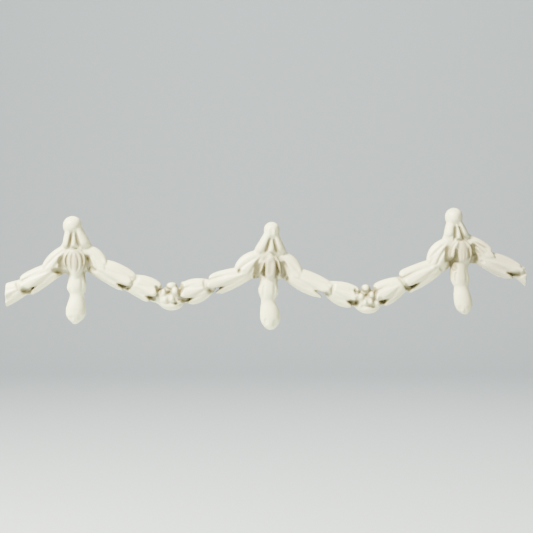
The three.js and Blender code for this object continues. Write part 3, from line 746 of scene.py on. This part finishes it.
def allCuts():
    # every gouge stroke on the face: start, bend, end, width and depth
    # on the garlands, two between the petals of each husk and one round the mouth that the next husk springs from
    cuts = []
    early = garland['grooveFrom']
    for shape in crowns.values():
        for start, bend, end, width, depth in shape['cuts']:
            cuts.append((placeOn(shape, start), placeOn(shape, bend), placeOn(shape, end), width, depth))
    for side, endKind, endIndex, husks in garlands:
        place = placerFor(side, endKind, endIndex)
        for index, (neck, _, tips, _) in enumerate(husks):
            upper, middle, lower = [place(tip) for tip in tips]
            start = place(neck)
            for tip, (width, depth) in zip((upper, lower), garland['grooves']):
                parts = ((tip[0] + middle[0]) / 2, (tip[1] + middle[1]) / 2)
                springs = (start[0] * (1 - early) + parts[0] * early, start[1] * (1 - early) + parts[1] * early)
                halfway = ((springs[0] + parts[0]) / 2, (springs[1] + parts[1]) / 2)
                cuts.append((springs, halfway, parts, width, depth))
            if index:
                continue
            length = math.dist(start, middle)
            ahead = ((middle[0] - start[0]) / length, (middle[1] - start[1]) / length)
            above, beyond, below = garland['valleyLead']
            begins = (upper[0] + ahead[0] * above, upper[1] + ahead[1] * above)
            ends = (lower[0] + ahead[0] * below, lower[1] + ahead[1] * below)
            bend = [2 * (middle[i] + ahead[i] * beyond) - (begins[i] + ends[i]) / 2 for i in (0, 1)]
            cuts.append((begins, bend, ends, garland['valleyWidth'], garland['valleyDepth']))
    for start, end, width, depth, _ in garland['pockets']:
        cuts.append((start, ((start[0] + end[0]) / 2, (start[1] + end[1]) / 2), end, width, depth))
    for shape in rosettes.values():
        for across, up, width, depth in shape['cuts']:
            x, z = shape['middle'][0] + across, shape['middle'][1] + up
            cuts.append(((x - rosette['dab'], z), (x, z), (x + rosette['dab'], z), width, depth))
    return cuts


stroke = {
    'steps': 25,
    'longFrom': 2,                  # widths, from which a stroke runs out at its ends
    'runOut': 0.25,                 # share of its length over which it does
    'ends': 0.15,                   # share of the depth that it has there
}


def carve(ornament, cuts):
    # each stroke pushes the front back along its curve, deepest in its middle
    corners = ornament.data.vertices
    places = numpy.empty(len(corners) * 3)
    corners.foreach_get('co', places)
    places = places.reshape(-1, 3) / mm
    for start, bend, end, width, depth in cuts:
        steps = numpy.linspace(0, 1, stroke['steps'])
        line = numpy.array([curveAt(start, bend, end, share) for share in steps])
        reach = width / 2
        low, high = line.min(axis=0) - reach, line.max(axis=0) + reach
        near = ((places[:, 0] > low[0]) & (places[:, 0] < high[0]) & (places[:, 2] > low[1])
                & (places[:, 2] < high[1]) & (places[:, 1] < -casting['floor']))
        found = numpy.nonzero(near)[0]
        away = numpy.hypot(places[found, 0, None] - line[:, 0], places[found, 2, None] - line[:, 1])
        closest = away.argmin(axis=1)
        off = away.min(axis=1) / reach
        isLong = math.dist(start, end) > stroke['longFrom'] * width
        ramp = numpy.minimum(steps, 1 - steps) / stroke['runOut'] + stroke['ends']
        fade = numpy.minimum(1, ramp)[closest] if isLong else 1
        pushed = places[found, 1] + depth * numpy.maximum(0, 1 - off ** 2) ** 2 * fade
        places[found, 1] = numpy.minimum(pushed, -casting['floor'])
    corners.foreach_set('co', (places * mm).ravel())
    ornament.data.update()
    print('carved:', len(cuts), 'strokes')


def castOrnament(forms):
    selectOnly(forms)
    bpy.ops.object.join()
    ornament = bpy.context.object
    ornament.name = 'festoonSwag'
    ornament.data.name = 'festoonSwag'
    skinOver(ornament, casting['voxel'], casting['blend'])
    carve(ornament, allCuts())
    skinOver(ornament, casting['voxel'], casting['smoothing'])

    # the back is flat again after the smoothing
    bpy.ops.object.mode_set(mode='EDIT')
    selectPlaces(ornament, lambda co: co.y > -casting['backZone'] * mm)
    bpy.ops.transform.resize(value=(1, 0, 1), center_override=(0, 0, 0))
    bpy.ops.mesh.select_all(action='SELECT')
    bpy.ops.mesh.quads_convert_to_tris()
    bpy.ops.object.mode_set(mode='OBJECT')
    count = len(ornament.data.polygons)
    if count > casting['triangles']:
        thin = ornament.modifiers.new('thin', 'DECIMATE')
        thin.ratio = casting['triangles'] / count
        bpy.ops.object.modifier_apply(modifier='thin')
    bpy.ops.object.shade_smooth_by_angle(angle=math.radians(casting['creaseAngle']))
    print('casting:', count, 'triangles, then', len(ornament.data.polygons))
    return ornament


hollows = {
    'rays': ((5, 0.35), (6, 0.62), (4, 0.88)),  # how many to a ring, and how steeply they rise
    'liftOff': 0.05,                # mm off the skin, where they start
    'reach': 9,                     # mm that they run
    'blur': 5,
}


def markHollows(ornament):
    # how shut in each corner is, from rays sent out over it: 1 in the open, lower in a hollow.
    # The paint darkens by it as painted shade in the valleys and hollows.
    skin = ornament.data
    tree = BVHTree.FromPolygons([corner.co for corner in skin.vertices],
                                [face.vertices for face in skin.polygons])
    rays = []
    for ring, lift in hollows['rays']:
        for step in range(ring):
            angle = 2 * math.pi * (step + lift) / ring
            flat = math.sqrt(1 - lift ** 2)
            rays.append(Vector((flat * math.cos(angle), flat * math.sin(angle), lift)))
    openness = []
    for corner in skin.vertices:
        normal = corner.normal
        turn = normal.to_track_quat('Z', 'Y')
        start = corner.co + normal * hollows['liftOff'] * mm
        clear = sum(ray.z for ray in rays if tree.ray_cast(start, turn @ ray, hollows['reach'] * mm)[0] is None)
        openness.append(clear / sum(ray.z for ray in rays))
    for _ in range(hollows['blur']):
        total, count = list(openness), [1] * len(openness)
        for edge in skin.edges:
            a, b = edge.vertices
            total[a] += openness[b]
            total[b] += openness[a]
            count[a] += 1
            count[b] += 1
        openness = [t / c for t, c in zip(total, count)]
    layer = skin.color_attributes.new('hollows', 'FLOAT_COLOR', 'POINT')
    layer.data.foreach_set('color', [channel for value in openness for channel in (value, value, value, 1)])
    print('hollows: from', round(min(openness), 2), 'to', round(max(openness), 2))


resin = {
    'light': (0.88, 0.85, 0.52, 1),
    'shade': (0.70, 0.66, 0.40, 1),
    'warm': (0.52, 0.455, 0.32, 1),
    # painted shade round each bellflower
    'bloomShade': (0.40, 0.345, 0.205, 1),
    # painted shade in the valleys, and darker in the hollows
    'valley': (0.27, 0.235, 0.125, 1),
    'hollow': (0.17, 0.14, 0.065, 1),
    # scale and detail of the mottle, then where in it the shade starts and is fullest, and its most
    'mottle': (55, 4),
    'shading': (0.4, 0.75, 0.9),
    'rightEnd': (0.106, 0.134, 0.8),  # m along X where the darker, warmer colour starts and is fullest, and its most
    'bloomShadeFront': -0.0145,           # m along Y, so far in front that the painted shade round each bellflower stays off the back
    'bloomShadeCore': 0.45,               # share of the reach of that painted shade where it is fullest
    'bloomShadeMost': 0.8,
    # painted shade in the valleys and hollows: its colour, how open a place is where it starts and where it is
    # fullest, and its most
    'paintedShade': (('valley', 1.0, 0.7, 0.95), ('hollow', 0.68, 0.32, 0.85)),
    'grain': (900, 3),              # scale and detail
    'pinholes': (210, 0.05, 0.14, -6),  # scale, the floor's and the mouth's width in the pattern, and depth
    'bumpStrength': 0.3,
    'bumpHeight': 0.0001,
    'roughness': 0.46,
    'glow': 0.12,                   # light that goes into the resin and out again
    'glowColour': (1.0, 0.7, 0.4),
    'glowDepth': 0.0015,
}


def addFade(tree, source, start, end, most, least=0, kind='LINEAR'):
    # from its least where the source is at the start to its most at the end
    fade = tree.nodes.new('ShaderNodeMapRange')
    fade.interpolation_type = kind
    fade.inputs['From Min'].default_value = start
    fade.inputs['From Max'].default_value = end
    fade.inputs['To Min'].default_value = least
    fade.inputs['To Max'].default_value = most
    tree.links.new(source, fade.inputs['Value'])
    return fade.outputs['Result']


def addCoat(tree, under, colour, share):
    # a colour laid over what is under it, a colour too or the coats so far
    coat = tree.nodes.new('ShaderNodeMix')
    coat.data_type = 'RGBA'
    coat.inputs[7].default_value = colour
    tree.links.new(share, coat.inputs[0])
    if isinstance(under, tuple):
        coat.inputs[6].default_value = under
    else:
        tree.links.new(under, coat.inputs[6])
    return coat.outputs[2]


def addNoise(tree, place, scale, detail):
    noise = tree.nodes.new('ShaderNodeTexNoise')
    noise.inputs['Scale'].default_value = scale
    noise.inputs['Detail'].default_value = detail
    tree.links.new(place, noise.inputs['Vector'])
    return noise.outputs['Fac']


def paintResin(ornament):
    paint = bpy.data.materials.new('creamResin')
    paint.use_nodes = True
    tree = paint.node_tree
    nodes, links = tree.nodes, tree.links
    shader = nodes['Principled BSDF']
    place = nodes.new('ShaderNodeTexCoord').outputs['Object']

    # a light and a darker cream, and a right end that is darker and warmer
    mottle = addNoise(tree, place, *resin['mottle'])
    coats = addCoat(tree, resin['light'], resin['shade'], addFade(tree, mottle, *resin['shading']))
    along = nodes.new('ShaderNodeSeparateXYZ')
    links.new(place, along.inputs['Vector'])
    coats = addCoat(tree, coats, resin['warm'], addFade(tree, along.outputs['X'], *resin['rightEnd']))

    # painted shade round each bellflower, where it sits low between the side husks
    for shape in crowns.values():
        across, up, reach = shape['bloomShade']
        x, z = placeOn(shape, (across, up))
        away = nodes.new('ShaderNodeVectorMath')
        away.operation = 'DISTANCE'
        away.inputs[1].default_value = (x * mm, resin['bloomShadeFront'], z * mm)
        links.new(place, away.inputs[0])
        near = addFade(tree, away.outputs['Value'], reach * mm, reach * resin['bloomShadeCore'] * mm,
                       resin['bloomShadeMost'], kind='SMOOTHSTEP')
        coats = addCoat(tree, coats, resin['bloomShade'], near)

    # painted shade where the skin is shut in, deeper in the hollows
    openness = nodes.new('ShaderNodeAttribute')
    openness.attribute_name = 'hollows'
    for colour, starts, fullest, most in resin['paintedShade']:
        sunk = addFade(tree, openness.outputs['Fac'], starts, fullest, most, kind='SMOOTHSTEP')
        coats = addCoat(tree, coats, resin[colour], sunk)
    links.new(coats, shader.inputs['Base Color'])

    # grain and pinholes
    scale, floor, mouth, depth = resin['pinholes']
    pinholes = nodes.new('ShaderNodeTexVoronoi')
    pinholes.inputs['Scale'].default_value = scale
    links.new(place, pinholes.inputs['Vector'])
    relief = nodes.new('ShaderNodeMath')
    relief.operation = 'ADD'
    links.new(addNoise(tree, place, *resin['grain']), relief.inputs[0])
    links.new(addFade(tree, pinholes.outputs['Distance'], floor, mouth, 0, least=depth), relief.inputs[1])
    bump = nodes.new('ShaderNodeBump')
    bump.inputs['Strength'].default_value = resin['bumpStrength']
    bump.inputs['Distance'].default_value = resin['bumpHeight']
    links.new(relief.outputs['Value'], bump.inputs['Height'])
    links.new(bump.outputs['Normal'], shader.inputs['Normal'])

    shader.inputs['Roughness'].default_value = resin['roughness']
    shader.inputs['Subsurface Weight'].default_value = resin['glow']
    shader.inputs['Subsurface Radius'].default_value = resin['glowColour']
    shader.inputs['Subsurface Scale'].default_value = resin['glowDepth']
    ornament.data.materials.clear()
    ornament.data.materials.append(paint)


buildStudio()
forms = []
for side, shape in crowns.items():
    forms += buildCrest(side, shape) + buildBloom(side, shape)
    forms.append(drawSlices(side + 'Pendant', shape['heart'], shape['pendant'], crown['sheetRim']))
print('crowns:', len(forms), 'forms')
for side, endKind, endIndex, husks in garlands:
    forms += buildGarland(side, endKind, endIndex, husks)
for name, shape in rosettes.items():
    forms += buildRosette(name, shape)
forms += buildPocketFloors()
print('garlands and rosettes:', len(forms), 'forms')
ornament = castOrnament(forms)
markHollows(ornament)
paintResin(ornament)
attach(ornament, 'root')
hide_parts('festoon_swag')
